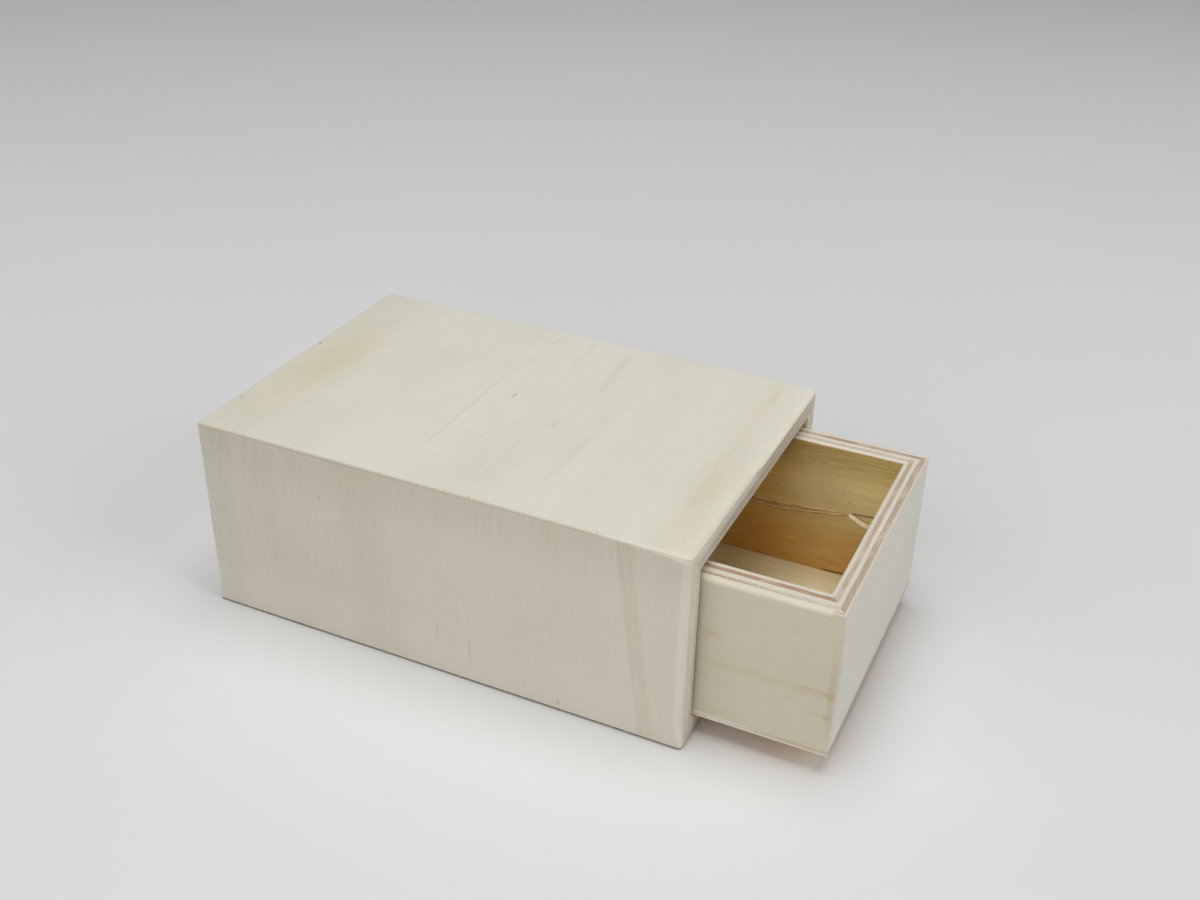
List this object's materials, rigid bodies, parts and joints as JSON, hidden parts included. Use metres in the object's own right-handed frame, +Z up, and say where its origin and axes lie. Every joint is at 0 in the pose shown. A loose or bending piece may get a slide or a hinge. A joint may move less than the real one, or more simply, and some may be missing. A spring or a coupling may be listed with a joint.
{
  "type": "sliding drawer box",
  "caption": "Small raw plywood box: a mitred case closed at the back, with a flush drawer without a pull that slides out of its open end.",
  "frame": {"origin": "centre of the case's underside, on the surface that the box stands on", "axes": "+Z up, -Y out of the case's mouth and the way the drawer opens, +X to the right seen from the drawer's front"},
  "size_m": [0.088, 0.1646, 0.054],
  "materials": {
    "case_plywood": "raw, sanded",
    "drawer_plywood": "raw, sanded",
    "floor_board": "raw, sanded"
  },
  "bodies": {
    "case": {"case_top": "case_plywood", "case_bottom": "case_plywood", "case_left_side": "case_plywood", "case_right_side": "case_plywood", "case_back": "case_plywood"},
    "drawer": {"drawer_front": "drawer_plywood", "drawer_back": "drawer_plywood", "drawer_left_side": "drawer_plywood", "drawer_right_side": "drawer_plywood", "drawer_bottom": "floor_board"}
  },
  "joints": [
    {"name": "drawer_slide", "type": "slide", "parent": "case", "child": "drawer", "axis": [0, -1, 0], "range_m": [-0.0326, 0.0624]}
  ]
}
